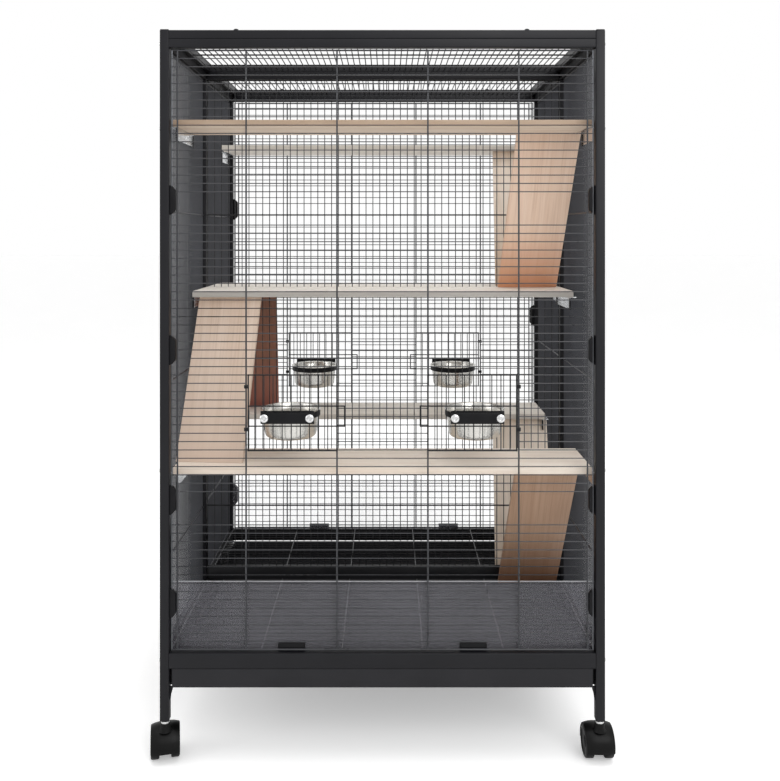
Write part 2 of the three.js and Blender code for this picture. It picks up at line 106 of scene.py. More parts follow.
def scaled(colour, factor):
    """A colour made paler or darker by this factor."""
    return tuple(factor * c for c in colour[:3]) + (1,)


def noise(tree, vector, size, detail=2.0, roughness=0.5):
    """Noise whose features are this many millimetres across."""
    node = add_node(tree, "ShaderNodeTexNoise",
                    {"Vector": vector, "Scale": 1 / (size * MM), "Detail": detail, "Roughness": roughness})
    return node.outputs["Fac"]


def drawn_noise(tree, vector, sizes, detail=2.0, roughness=0.5):
    """Noise drawn out to features this many millimetres long in X, Y and Z."""
    stretched = add_node(tree, "ShaderNodeMapping", {"Vector": vector, "Scale": [1 / size for size in sizes]})
    return noise(tree, stretched.outputs["Vector"], 1.0, detail, roughness)


def spread(tree, value, low, high, low_in=0.3, high_in=0.7):
    node = add_node(tree, "ShaderNodeMapRange", {
        "Value": value, "From Min": low_in, "From Max": high_in, "To Min": low, "To Max": high,
    })
    return node.outputs["Result"]


def blend_colour(tree, factor, low, high):
    node = add_node(tree, "ShaderNodeMix", data_type="RGBA")
    for socket, value in ((node.inputs["Factor"], factor), (node.inputs[6], low), (node.inputs[7], high)):
        if isinstance(value, bpy.types.NodeSocket):
            tree.links.new(value, socket)
        else:
            socket.default_value = value
    return node.outputs[2]


def bump(tree, height, strength, distance):
    node = add_node(tree, "ShaderNodeBump", {"Height": height, "Strength": strength, "Distance": distance})
    return node.outputs["Normal"]


def powder_coat(name, colour, worn, roughness, gloss=0.2):
    """Steel under baked powder paint. It gives a soft, even sheen on rounded edges, broken up by an orange peel."""
    material, tree, coords = new_material(name)
    clouds = noise(tree, coords, 110.0, 4.0)   # handling and dust cloud a tube a hand's breadth at a time
    peel = noise(tree, coords, 1.1, 2.0)       # orange peel of baked powder, 1 to 2 mm from crest to crest
    return principled(material, tree, {
        "Base Color": blend_colour(tree, spread(tree, clouds, 0.0, 1.0), colour, worn),
        "Roughness": spread(tree, clouds, roughness - 0.05, roughness + 0.06),
        "Specular IOR Level": gloss,
        "Normal": bump(tree, peel, 0.25, 0.0002),
    })


def birch_ply(name, pale, mid, dark, ply_bands_and_edge_shade=None, turn=(0, 0, 0), tail=None, upper=None):
    """Birch ply, sanded and sealed. Its face shows long soft grain with short pores, and its cut edges show the ply
    layers.
    The edge setting holds the least and the most that the cut edges darken: the bands between are the ply layers, and
    the darkening is also painted shade, on edges that face away from the light. The foot setting is a height, a reach
    above it and the colour that the board takes on there, which is painted light and shade, as the light falls between
    the walls. Upper holds the pale, mid and dark colours of the side that faces up, where it differs from the
    underside, whose darker colours are painted shade."""
    material, tree, coords = new_material(name)
    height = height_of(tree, coords)
    facing = height_of(tree, add_node(tree, "ShaderNodeTexCoord").outputs["Normal"])
    # the underside's darker colours are painted shade, where it faces away from the light
    if upper:
        side = spread(tree, facing, 0.0, 1.0, -0.05, 0.05)
        pale, mid, dark = (blend_colour(tree, side, low, high) for low, high in zip((pale, mid, dark), upper))
        if tail:
            tail = (tail[0], tail[1], blend_colour(tree, side, tail[2], upper[1]))
    along = add_node(tree, "ShaderNodeMapping", {"Vector": coords, "Rotation": turn}).outputs["Vector"]
    grain = drawn_noise(tree, along, (390.0, 24.0, 24.0), 5.0, 0.62)     # rotary-cut figure, 20 to 30 mm broad
    pores = drawn_noise(tree, along, (150.0, 3.2, 3.2), 3.0, 0.55)       # real pores are 0.1 mm: drawn coarse to show
    clouds = drawn_noise(tree, along, (325.0, 143.0, 143.0), 3.0)        # sheets vary over a hand's length
    colour = blend_colour(tree, spread(tree, grain, 0.0, 1.0), pale, mid)
    colour = blend_colour(tree, spread(tree, pores, 0.0, 0.34, 0.48, 0.72), colour, dark)
    colour = blend_colour(tree, spread(tree, clouds, 0.0, 0.22), colour, mid)
    if ply_bands_and_edge_shade:
        # real ply layers are 1.4 mm thick: drawn as light and dark pairs of 2.5 mm, so that they show; the least
        # darkening, on every cut edge, is painted shade
        bands = maths(tree, "SINE", maths(tree, "MULTIPLY", height, 2 * math.pi / (2.5 * MM)))
        edge = spread(tree, maths(tree, "ABSOLUTE", facing), 1.0, 0.0, 0.2, 0.6)
        shade = maths(tree, "MULTIPLY", spread(tree, bands, *ply_bands_and_edge_shade, -0.8, 0.8), edge)
        colour = blend_colour(tree, shade, colour, dark)
    # the foot's colour is painted light and shade
    if tail:
        foot, reach, shade = tail
        colour = blend_colour(tree, spread(tree, height, 0.9, 0.0, foot, foot + reach), colour, shade)
    return principled(material, tree, {
        "Base Color": colour,
        "Roughness": spread(tree, pores, 0.5, 0.66),
        "Normal": bump(tree, pores, 0.3, 0.0004),
    })


def bare_metal(name, colour, roughness, lines=(3.1, 3.1, 3.1)):
    """Bare metal. Its rolled, spun or turned lines smear the reflections along them."""
    material, tree, coords = new_material(name)
    drawn = drawn_noise(tree, coords, lines, 3.0, 0.6)
    return principled(material, tree, {
        "Base Color": blend_colour(tree, spread(tree, drawn, 0.0, 1.0), colour, scaled(colour, 0.82)),
        "Metallic": 1.0,
        "Roughness": spread(tree, drawn, roughness - 0.05, roughness + 0.08),
        "Normal": bump(tree, drawn, 0.12, 0.0002),
    })


def moulded_plastic(name, colour, roughness, grain=1.7):
    """Moulded plastic. The tool's spark texture dulls its highlights, and flow clouds its colour a little."""
    material, tree, coords = new_material(name)
    texture = noise(tree, coords, grain, 2.0)  # real spark texture is 0.2 mm: drawn coarse to show
    clouds = noise(tree, coords, 33.0, 3.0)    # flow marks as long as a thumb
    return principled(material, tree, {
        "Base Color": blend_colour(tree, spread(tree, clouds, 0.0, 1.0), colour, scaled(colour, 1.5)),
        "Roughness": spread(tree, clouds, roughness - 0.04, roughness + 0.08),
        "Specular IOR Level": 0.14,
        "Normal": bump(tree, texture, 0.3, 0.0003),
    })


def cast_acrylic(name, colour, opacity):
    """Clear cast acrylic. It is seen by its reflections, by a light haze and by its brighter sawn edges, frosted by
    the saw and brightened further by a painted highlight.
    """
    material, tree, coords = new_material(name)
    haze = noise(tree, coords, 250.0, 4.0)     # wiping leaves broad, faint smears
    return principled(material, tree, {
        "Base Color": colour,
        "Roughness": spread(tree, haze, 0.06, 0.12),
        "Specular IOR Level": 0.3,
        "Alpha": spread(tree, haze, opacity - 0.02, opacity + 0.02),
    })


MATERIALS = {}


def material_of(name):
    """The material of this name, made from the settings the first time it is asked for."""
    if name in MATERIALS:
        return MATERIALS[name]
    s = bpy.context.scene
    tint = lambda c: tuple(c) + (1.0,)
    grey = tint(s.cage_frame.paint)
    shelf = tint(s.cage_boards.shelf)
    makers = {
        # square tube and bar: near black, with a satin sheen along the rounded edges
        "powder-coated steel tube": (powder_coat, grey, scaled(grey, 1.3), 0.42),
        # welded mesh: near black, so that the walls read as a dark veil against the light
        "powder-coated steel mesh": (powder_coat, tint(s.cage_wires.paint), srgb("#222224"), 0.36),
        # side walls: the same paint, greyer where the close wires catch the light of the room
        "powder-coated steel side mesh": (powder_coat, srgb("#2f3034"), srgb("#3a3b40"), 0.36),
        # doors: glossier, and painted a paler grey as a painted highlight, so that each wire shows as a grey line on
        # the dark floor
        "powder-coated steel door wire": (powder_coat, srgb("#303134"), srgb("#3b3c40"), 0.3, 0.4),
        # folded tray: large flat faces that take a broad, even sheen
        "powder-coated sheet steel": (powder_coat, srgb("#1f1f22"), srgb("#252528"), 0.38),
        # shelves: pale cream faces with browner cut edges. The boards are one ply: the upper shelf's dark edges are
        # partly painted shade, on fronts that face away from the light, and the lower shelf is painted paler, painted
        # light against the shade of the shelf above
        "sealed birch ply upper shelf": (birch_ply, shelf, srgb("#dcc5ae"), srgb("#96785c"), (0.5, 0.85)),
        "sealed birch ply lower shelf": (birch_ply, srgb("#fbf2e6"), srgb("#f0e0d0"), srgb("#b39a82"), (0.1, 0.35)),
        # the back's shelves are a little greyer
        "sealed birch ply back shelf": (birch_ply, srgb("#f4eee6"), srgb("#e8dfd4"), srgb("#a39a8f"), (0.35, 0.6)),
        # the middle shelf is the palest, almost white, with grey edges: ply layers and painted shade, on fronts that
        # face away from the light
        "sealed birch ply middle shelf": (birch_ply, srgb("#f1ece4"), srgb("#e4dcd2"), srgb("#77736f"), (0.45, 0.8)),
        # shelf angles: bright, with faint rolling lines 20 mm long and 2 mm apart
        "zinc-plated sheet steel": (bare_metal, srgb("#e1e3e5"), 0.22, (20.8, 2.1, 2.1)),
        # door rods: the same plating, darker and duller
        "zinc-plated steel rod": (bare_metal, srgb("#77797d"), 0.34, (2.1, 2.1, 20.8)),
        # bowls: mirror-like, with spun lines round the wall half a millimetre apart
        "spun stainless steel": (bare_metal, srgb("#d9d7d2"), 0.23, (4.2, 4.2, 0.5)),
        # screws: small, bright and smooth
        "nickel-plated steel": (bare_metal, srgb("#e2e2e2"), 0.2),
        # blocks, clamps, clips and tips: black with a soft highlight
        "moulded ABS": (moulded_plastic, srgb("#101012"), 0.42),
        # caster hoods: blacker and a little smoother
        "moulded nylon": (moulded_plastic, srgb("#090909"), 0.36),
        # caster wheels: smooth and black, with flow marks 3 mm across
        "moulded polyurethane": (moulded_plastic, srgb("#080809"), 0.28, 3.3),
        "clear cast acrylic": (cast_acrylic, tint(s.cage_screens.tint), s.cage_screens.opacity),
        # sawn top edge: paler and less clear, partly the frosting of the saw cut and partly a painted highlight
        "clear cast acrylic sawn edge": (cast_acrylic, srgb("#d4d6da"), 0.42),
    }
    make, *looks = makers[name]
    MATERIALS[name] = make(name, *looks)
    return MATERIALS[name]


# ---------------------------------------------------------------- mesh tools, in millimetres
def moved(bm, matrix):
    """bm itself, moved."""
    bmesh.ops.transform(bm, matrix=matrix, verts=bm.verts)
    return bm


def turned(bm, face):
    """A shape of the front half, turned half a turn where it belongs to the back half."""
    return moved(bm, half(face))


def stood(bm, x, y, z):
    """A prism at this place, with its outline's Y upwards and its depth along Y."""
    moved(bm, Matrix(((1, 0, 0, x), (0, 0, 1, y), (0, 1, 0, z), (0, 0, 0, 1))))
    bmesh.ops.recalc_face_normals(bm, faces=bm.faces)
    return bm


def eased(bm, edges, edge, steps):
    """bm itself, with these edges rounded."""
    if edge:
        bmesh.ops.bevel(bm, geom=edges, offset=edge, segments=steps, profile=0.5, affect="EDGES", clamp_overlap=True)
    return bm


def linked(name, data):
    """A new object in the scene."""
    obj = bpy.data.objects.new(name, data)
    bpy.context.scene.collection.objects.link(obj)
    return obj


def forget(obj):
    """Removes an object with its mesh."""
    data = obj.data
    bpy.data.objects.remove(obj)
    bpy.data.meshes.remove(data)


def applied(bm, obj):
    """Adds an object's shape, as its modifiers leave it, to bm and removes the object."""
    mesh = bpy.data.meshes.new_from_object(obj.evaluated_get(bpy.context.evaluated_depsgraph_get()))
    bm.from_mesh(mesh)
    bpy.data.meshes.remove(mesh)
    forget(obj)
    return bm


def merged(bm, part, matrix=None):
    """Adds part to bm and frees it."""
    if matrix is not None:
        moved(part, matrix)
    mesh = bpy.data.meshes.new("part")
    part.to_mesh(mesh)
    part.free()
    bm.from_mesh(mesh)
    bpy.data.meshes.remove(mesh)


def box(lo, hi, edge=0.0, steps=2):
    bm = bmesh.new()
    lo, hi = Vector(lo), Vector(hi)
    bmesh.ops.create_cube(bm, size=1.0)
    moved(bm, Matrix.LocRotScale((lo + hi) / 2, None, hi - lo))
    return eased(bm, bm.edges[:], edge, steps)


def prism(points, depth, edge=0.0, steps=2):
    """An outline in X and Y, raised along Z."""
    bm = bmesh.new()
    low = [bm.verts.new((x, y, 0)) for x, y in points]
    face = bm.faces.new(low)
    raised = bmesh.ops.extrude_face_region(bm, geom=[face])["geom"]
    bmesh.ops.translate(bm, vec=(0, 0, depth), verts=[v for v in raised if isinstance(v, bmesh.types.BMVert)])
    bmesh.ops.recalc_face_normals(bm, faces=bm.faces)
    return eased(bm, bm.edges[:], edge, steps)


def lathe(profile, segments=48, closed=False):
    """A profile of radius and height, turned about Z."""
    bm = bmesh.new()
    rings = []
    for radius, z in profile:
        if radius < 1e-6:
            rings.append([bm.verts.new((0, 0, z))])
        else:
            rings.append([bm.verts.new((radius * math.cos(2 * math.pi * i / segments),
                                        radius * math.sin(2 * math.pi * i / segments), z)) for i in range(segments)])
    pairs = list(zip(rings, rings[1:])) + ([(rings[-1], rings[0])] if closed else [])
    for a, b in pairs:
        for i in range(segments):
            j = (i + 1) % segments
            corners = [a[i % len(a)], a[j % len(a)], b[j % len(b)], b[i % len(b)]]
            unique = list(dict.fromkeys(corners))
            if len(unique) > 2:
                bm.faces.new(unique)
    bmesh.ops.recalc_face_normals(bm, faces=bm.faces)
    return bm


def rod(start, end, radius, sides=16):
    """A round bar between two points, with its ends eased."""
    start, end = Vector(start), Vector(end)
    length = (end - start).length
    ease = radius * 0.25
    neck = radius - ease
    bm = lathe([(0, 0), (neck, 0), (radius, ease), (radius, length - ease), (neck, length), (0, length)], sides)
    turn = Vector((0, 0, 1)).rotation_difference(end - start).to_matrix().to_4x4()
    return moved(bm, Matrix.Translation(start) @ turn)


def carved(base, *tools):
    """base with each tool cut away."""
    def temporary(bm):
        mesh = bpy.data.meshes.new("carve")
        bm.to_mesh(mesh)
        bm.free()
        return linked("carve", mesh)
    body = temporary(base)
    knives = [temporary(tool) for tool in tools]
    for knife in knives:
        modifier = body.modifiers.new("cut", "BOOLEAN")
        modifier.operation = "DIFFERENCE"
        modifier.solver = "EXACT"
        modifier.object = knife
    result = applied(bmesh.new(), body)
    for knife in knives:
        forget(knife)
    return result


def node_shape(name, edge=0.8, steps=2):
    """A CAD node's own shape, in millimetres, with its flat faces whole and its edges eased."""
    bm = bmesh.new()
    bm.from_mesh(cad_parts[name].data)
    moved(bm, Matrix.Scale(1 / MM, 4))
    bmesh.ops.remove_doubles(bm, verts=bm.verts, dist=0.01)
    bmesh.ops.dissolve_limit(bm, angle_limit=math.radians(1), verts=bm.verts, edges=bm.edges)
    sharp = [e for e in bm.edges if len(e.link_faces) == 2 and e.calc_face_angle(0) > math.radians(50)]
    return eased(bm, sharp, edge, steps)


def piece(name, bm, material, body, nodes=(), sharp=40):
    """A finished object from a shape in millimetres."""
    moved(bm, Matrix.Scale(MM, 4))
    mesh = bpy.data.meshes.new(name)
    bm.to_mesh(mesh)
    bm.free()
    mesh.polygons.foreach_set("use_smooth", [True] * len(mesh.polygons))
    mesh.set_sharp_from_angle(angle=math.radians(sharp))
    mesh.materials.append(material_of(material))
    obj = linked(name, mesh)
    if nodes:
        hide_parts(*nodes)
    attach(obj, body)
    return obj


def half(face):
    """The front half's frame, or that of the back half, half a turn round."""
    return Matrix.Rotation(math.pi if face == "back" else 0.0, 4, "Z")


# ---------------------------------------------------------------- rows of bars, by geometry nodes
def bar_row_tree():
    """Round bars in a row: Count of them from Start, Step apart, each Length long."""
    name = "Row of bars"
    if name in bpy.data.node_groups:
        return bpy.data.node_groups[name]
    tree = bpy.data.node_groups.new(name, "GeometryNodeTree")
    tree.interface.new_socket(name="Geometry", in_out="OUTPUT", socket_type="NodeSocketGeometry")
    for label, kind in (("Count", "Int"), ("Start", "Vector"), ("Step", "Vector"), ("Turn", "Vector"),
                        ("Length", "Float"), ("Radius", "Float"), ("Sides", "Int")):
        tree.interface.new_socket(name=label, in_out="INPUT", socket_type=f"NodeSocket{kind}")
    given = add_node(tree, "NodeGroupInput").outputs
    line = add_node(tree, "GeometryNodeMeshLine", {
        "Count": given["Count"], "Start Location": given["Start"], "Offset": given["Step"],
    }, mode="OFFSET", count_mode="TOTAL")
    bar = add_node(tree, "GeometryNodeMeshCylinder", {
        "Vertices": given["Sides"], "Radius": given["Radius"], "Depth": given["Length"],
    }, fill_type="NGON")
    turn = add_node(tree, "FunctionNodeEulerToRotation", {"Euler": given["Turn"]})
    row = add_node(tree, "GeometryNodeInstanceOnPoints", {
        "Points": line.outputs["Mesh"], "Instance": bar.outputs["Mesh"], "Rotation": turn.outputs["Rotation"],
    })
    real = add_node(tree, "GeometryNodeRealizeInstances", {"Geometry": row.outputs["Instances"]})
    add_node(tree, "NodeGroupOutput", {"Geometry": real.outputs["Geometry"]})
    return tree


TURNS = {"X": (0, math.pi / 2, 0), "Y": (math.pi / 2, 0, 0), "Z": (0, 0, 0)}


def add_row(bm, count, start, step, along, length, radius, sides=8):
    """Adds a row of bars, in millimetres, to bm."""
    tree = bar_row_tree()
    holder = linked("row", bpy.data.meshes.new("row"))
    modifier = holder.modifiers.new("bars", "NODES")
    modifier.node_group = tree
    values = {"Count": count, "Start": start, "Step": step, "Turn": TURNS[along], "Length": length,
              "Radius": radius, "Sides": sides}
    for item in tree.interface.items_tree:
        if item.in_out == "INPUT":
            modifier[item.identifier] = values[item.name]
    applied(bm, holder)


def add_bar(bm, middle, along, length, radius, sides=8):
    """Adds one such bar round this middle."""
    add_row(bm, 1, middle, (0, 0, 1), along, length, radius, sides)


def spans(bm, levels, x0, x1, y, radius):
    """Level bars from x0 to x1 at each of these evenly spaced heights."""
    step = levels[1] - levels[0] if len(levels) > 1 else 1.0
    add_row(bm, len(levels), ((x0 + x1) / 2, y, levels[0]), (0, 0, step), "X", x1 - x0, radius)


# ---------------------------------------------------------------- sizes shared with the solid model, in millimetres
# The frame: middles of the posts and of the front, the square tube, and the heights of the rails.
POST_X = 477.5
DOOR_Y = -393.0
TUBE = 20.0
POST_FOOT = 92.0
BOTTOM_RAIL = (208.0, 241.5)
TOP_RAIL = (1568.0, 1587.0)
ROOF_TOP = 1606.0
BOLT_HEIGHTS = (224, 640, 1391, 1577)
GUSSET_TOP = 165.7
# The walls: how far they reach from the middle, their level bars, and the roof's mesh.
INSIDE_X, INSIDE_Y = 467.0, 382.5
SIDE_BARS = (439, 829, 1209)
MIDDLE_POST = 10.2
SILL = (245.2, 34.0)
ROOF_SPAN = (-403.0, -0.2)
ROOF_MESH_DROP = 12.7
ROOF_RIM = 18.7
ROOF_SCREWS = (-321, 317)
FLOOR_BARS = (-465.5, -267, -89, 89, 267, 465.5)
# The doors: heights, rods, uprights, and the openings' first and last level wires.
DOOR_Z = (244.0, 1565.0)
ROD_X = 463.0
BORDER_X = 451.0
OPENING_X = (100, 300)
OPENING_GAPS = (24, 33)
BLOCK_GAPS = (5.6, 18, 36, 54)
BLOCK_REACH = 38
STUB_GAPS = (2, 12, 27, 45, 68)
# The feeders: plane of the hatches, bowls, clamps, latch bars and hinge eyes.
HATCH_Y = -397.5
HATCH_X = (98.0, 296.0)
HATCH_FIRST_BARS = {"left": -280, "right": 120}
LATCH_END = 83.0
LATCHES = (737.8, 781.8)
HATCH_EYES = (729.8, 823.8)
BOWL = (209.0, -324.0, 700.1)
CLAMP_Z = 756.3
CLAMP_RING = (747.8, 759.8)
# The clear screens: thickness in Y, height, and the middles of their clips.
SCREEN_Y = (-386, -383)
SCREEN_Z = (241.8, 391.5)
SCREEN_CLIPS = (-200, 200)
# The boards, and the angles under the shelves: outer end, inset and drop of the upright leg, then how far each reaches
# along the shelf and its gap from the shelf's near edge.
SHELF_DEPTH, SHELF_THICKNESS = 172, 15
ANGLE_X = 475.7
ANGLE_LEG, ANGLE_DROP = 15, 30
LONG_ANGLE = (166, 3)
SHORT_ANGLES = {"upper": (120, 11), "middle": (120, 41), "lower": (120, 11)}
RAMP_WIDTH, RAMP_THICKNESS = 155, 10
# The casters: height of the axle and how far it trails the stem.
AXLE_Z = 33.09
TRAIL = 20
CASTER_TURNS = {"left": 14, "right": 0}    # degrees that they stand swivelled by


def level(gap):
    gaps = bpy.context.scene.cage_wires.door_gaps
    return DOOR_Z[0] + 1.5 + gap * (DOOR_Z[1] - DOOR_Z[0] - 3) / gaps


# ---------------------------------------------------------------- settings
def length(name, text, default, low, high):
    return FloatProperty(name=name, description=text, default=default, min=low, max=high, subtype="DISTANCE",
                         unit="LENGTH")


def colour(name, text, code):
    return FloatVectorProperty(name=name, description=text, default=srgb(code)[:3], size=3, min=0, max=1,
                               subtype="COLOR")


class CageFrameSettings(bpy.types.PropertyGroup):
    paint: colour("Paint", "Colour of the tubes", "#17171a")
    edge: length("Edge radius", "Rounding of the square tube", 0.0016, 0.0002, 0.004)


class CageWireSettings(bpy.types.PropertyGroup):
    paint: colour("Paint", "Colour of the wires", "#19191b")
    thin: length("Thin wire", "Radius of the wires of the mesh", 0.0011, 0.0005, 0.003)
    stout: length("Stout wire", "Radius of the uprights that stiffen a door", 0.0019, 0.001, 0.004)
    door_gaps: IntProperty(name="Door gaps", description="Gaps between the level wires of a door", default=72,
                           min=24, max=120)
    pitch: length("Pitch", "Distance between the wires of the divider and the floor", 0.0183, 0.01, 0.05)
    side_pitch: length("Side pitch", "Distance between the upright wires of the sides", 0.0098, 0.006, 0.05)
    roof_pitch: length("Roof pitch", "Distance between the wires of the roof", 0.015, 0.008, 0.05)


class CageFeederSettings(bpy.types.PropertyGroup):
    hatch_pitch: length("Hatch pitch", "Distance between the uprights of a hatch", 0.02, 0.01, 0.05)
    bowl_rim: length("Bowl rim", "Outer radius of a bowl's rolled rim", 0.0685, 0.04, 0.08)
    bowl_depth: length("Bowl depth", "Height of a bowl", 0.064, 0.04, 0.1)


class CageBoardSettings(bpy.types.PropertyGroup):
    shelf: colour("Shelf", "Palest colour of the shelves", "#ebdccb")
    edge: length("Edge radius", "Easing of the boards' edges", 0.0012, 0.0002, 0.004)


class CageScreenSettings(bpy.types.PropertyGroup):
    tint: colour("Tint", "Colour of the clear sheet's haze", "#a6a5ae")
    opacity: FloatProperty(name="Haze", description="Share of light that the clear sheet stops", default=0.115,
                           min=0.05, max=1.0, subtype="FACTOR")


class CageCasterSettings(bpy.types.PropertyGroup):
    wheel: length("Wheel radius", "Radius of a wheel", 0.03309, 0.02, 0.05)
    segments: IntProperty(name="Segments", description="Facets round a wheel", default=64, min=16, max=128)


class CageStageSettings(bpy.types.PropertyGroup):
    floor: colour("Floor", "Colour of the floor", "#fdfdfd")
    key: FloatProperty(name="Key light", description="Power of the large light in front", default=60.0, min=0,
                       unit="POWER")
    fill: FloatProperty(name="World", description="Brightness of the surroundings", default=0.62, min=0, max=2)


# ---------------------------------------------------------------- operators
class CAGE_OT_frame(bpy.types.Operator):
    """Posts with caps, bolts and blocks, and the rails between them"""
    bl_idname = "cage.frame"
    bl_label = "Frame"

    def execute(self, context):
        edge = context.scene.cage_frame.edge / MM
        r = TUBE / 2
        for face in FACES:
            for label, sign in (("hinge", -1), ("latch", 1)):
                x = sign * POST_X
                bm = box((x - r, DOOR_Y - r, POST_FOOT), (x + r, DOOR_Y + r, ROOF_TOP), edge, 3)
                piece(f"{face}_{label}_tube", turned(bm, face), "powder-coated steel tube", "cage",
                      [f"{face}_{label}_post"])
                caps = bmesh.new()
                merged(caps, box((x - r + 0.6, DOOR_Y - r + 0.6, ROOF_TOP - 2), (x + r - 0.6, DOOR_Y + r - 0.6,
                                                                             ROOF_TOP + 2), 1.4, 3))
                for gap in BLOCK_GAPS:
                    merged(caps, self.block(sign, level(gap), label == "latch"))
                piece(f"{face}_{label}_blocks", turned(caps, face), "moulded ABS", "cage", ())
                bolts = bmesh.new()
                for z in BOLT_HEIGHTS:
                    head = lathe([(0, 0), (5.2, 0), (5.2, 1.0), (4.4, 2.2), (2.4, 2.9), (0, 3.1)], 24)
                    merged(bolts, head, Matrix.Translation((x + sign * r, DOOR_Y, z))
                           @ Matrix.Rotation(sign * math.pi / 2, 4, "Y"))
                piece(f"{face}_{label}_bolts", turned(bolts, face), "nickel-plated steel", "cage", ())
                points = [(0, 0), (0, -30), (-1.5, -30), (-3.2, -17), (-6.2, -7), (-8, 0)]
                gusset = prism([(sign * u, w) for u, w in points], 3, 0.4, 1)
                stood(gusset, sign * (POST_X - r), DOOR_Y - 1.5, GUSSET_TOP)
                piece(f"{face}_{label}_gusset", turned(gusset, face), "powder-coated steel tube", "cage")
            inner = POST_X - r
            for end, (low, high), node in (("head", TOP_RAIL, "top"), ("foot", BOTTOM_RAIL, "bottom")):
                rail = box((-inner, DOOR_Y - r, low), (inner, DOOR_Y + r, high), edge, 3)
                piece(f"{face}_{end}_rail", turned(rail, face), "powder-coated steel tube", "cage",
                      [f"{face}_{node}_rail"])
        for side, _ in SIDES:
            for end in ("top", "bottom"):
                piece(f"{side}_{end}_tube", node_shape(f"{side}_{end}_rail", 0.9), "powder-coated steel tube", "cage",
                      [f"{side}_{end}_rail"])
        piece("middle_head_rail", node_shape("middle_top_rail", 1.2), "powder-coated steel tube", "cage",
              ["middle_top_rail"])
        return {"FINISHED"}

    @staticmethod
    def block(sign, z, slotted):
        """A moulded block with the eye of a rod, open to the front on the latch side."""
        near, far = sign * (POST_X - TUBE / 2 + 0.5), sign * (POST_X - TUBE / 2 - 13.5)
        points = [(near, z - 33), (near, z + 33), ((near + far) / 2, z + 30), (far, z + 22), (far, z - 22),
                  ((near + far) / 2, z - 30)]
        body = stood(prism(points, 12, 1.6, 3), 0, DOOR_Y - 6, 0)
        rod_x = sign * ROD_X
        tools = [rod((rod_x, DOOR_Y, z - 38), (rod_x, DOOR_Y, z + 38), 2.9, 24)]
        if slotted:
            tools.append(box((rod_x - 2.9, DOOR_Y - 12, z - 38), (rod_x + 2.9, DOOR_Y, z + 38)))
        return carved(body, *tools)


class CAGE_OT_walls(bpy.types.Operator):
    """Side panels, divider, roof and floor of wire"""
    bl_idname = "cage.walls"
    bl_label = "Walls, roof and floor"

    def execute(self, context):
        s = context.scene.cage_wires
        thin, stout = s.thin / MM, s.stout / MM
        pitch, side_pitch, roof_pitch = s.pitch / MM, s.side_pitch / MM, s.roof_pitch / MM
        foot, head = BOTTOM_RAIL[1] + 0.5, TOP_RAIL[0] - 0.5
        for side, sign in SIDES:
            bm = bmesh.new()
            x = sign * POST_X
            for y0, y1 in ((-INSIDE_Y, -MIDDLE_POST), (MIDDLE_POST, INSIDE_Y)):
                gaps = round((y1 - y0) / side_pitch)
                step = (y1 - y0 - 2 * thin) / gaps
                add_row(bm, gaps + 1, (x, y0 + thin, (foot + head) / 2), (0, step, 0), "Z", head - foot, thin)
                for z in (foot + stout, *SIDE_BARS, head - stout):
                    add_bar(bm, (x - sign * 1.2, (y0 + y1) / 2, z), "Y", y1 - y0, stout)
            piece(f"{side}_side_wires", bm, "powder-coated steel side mesh", "cage", [f"{side}_side_panel"])
            half_width = MIDDLE_POST + 0.3
            post = box((x - TUBE / 2, -half_width, foot), (x + TUBE / 2, half_width, head), 1.4, 3)
            piece(f"{side}_middle_post", post, "powder-coated steel tube", "cage")

        bm = bmesh.new()
        end = INSIDE_X
        gaps = round(2 * end / pitch)
        step = (2 * end - 2 * thin) / gaps
        base, sill = SILL
        add_row(bm, gaps + 1, (-end + thin, 0, (base + head) / 2), (step, 0, 0), "Z", head - base, thin)
        for z in (*SIDE_BARS, head - stout):
            add_bar(bm, (0, -thin, z), "X", 2 * end, stout)
        merged(bm, box((-end, -5, base), (end, 5, base + sill), 1.2, 2))
        piece("divider_wires", bm, "powder-coated steel mesh", "cage", ["divider"])

        for face in FACES:
            bm = bmesh.new()
            (near, far), end = ROOF_SPAN, INSIDE_X + 0.2
            gaps = round(2 * end / roof_pitch)
            step = (2 * end - 20) / gaps
            z = ROOF_TOP - ROOF_MESH_DROP
            add_row(bm, gaps + 1, (-end + 10, (near + far) / 2, z), (step, 0, 0), "Y", far - near - 12, 1.2 * thin)
            for y in (near + 6, (near + far) / 2, far - 6):
                add_bar(bm, (0, y, z - thin), "X", 2 * end - 12, stout)
            piece(f"{face}_roof_wires", turned(bm, face), "powder-coated steel mesh", "cage", ())
            outer = box((-end, near, ROOF_TOP - ROOF_RIM), (end, far, ROOF_TOP), 1.3, 3)
            hole = box((-end + 10, near + 10, ROOF_TOP - 30), (end - 10, far - 10, ROOF_TOP + 10))
            rim = turned(carved(outer, hole), face)
            heads = bmesh.new()
            for x in ROOF_SCREWS:
                head = lathe([(0, 0), (5.6, 0), (5.6, 1.0), (4.6, 2.6), (2.4, 3.4), (0, 3.6)], 24)
                merged(heads, head, Matrix.Translation((x, near + 5.8, ROOF_TOP)))
            piece(f"{face}_roof_screws", turned(heads, face), "powder-coated steel tube", "cage")
            piece(f"{face}_roof_rim", rim, "powder-coated steel tube", "cage", [f"{face}_roof_panel"])

        bm = bmesh.new()
        z = BOTTOM_RAIL[1] + 1.5
        gaps = round(2 * INSIDE_Y / pitch)
        step = (2 * INSIDE_Y - 3) / gaps
        add_row(bm, gaps + 1, (0, -INSIDE_Y + 1.5, z), (0, step, 0), "X", 2 * INSIDE_X, thin)
        # the floor's front-to-back bars take the paler wire paint, a painted highlight along them
        bars = bmesh.new()
        for x in FLOOR_BARS:
            add_bar(bars, (x, 0, z - 0.4), "Y", 2 * INSIDE_Y, 1.5)
        piece("floor_cross_bars", bars, "powder-coated steel door wire", "cage", ())
        piece("floor_wires", bm, "powder-coated steel mesh", "cage", ["floor_grille"])
        return {"FINISHED"}


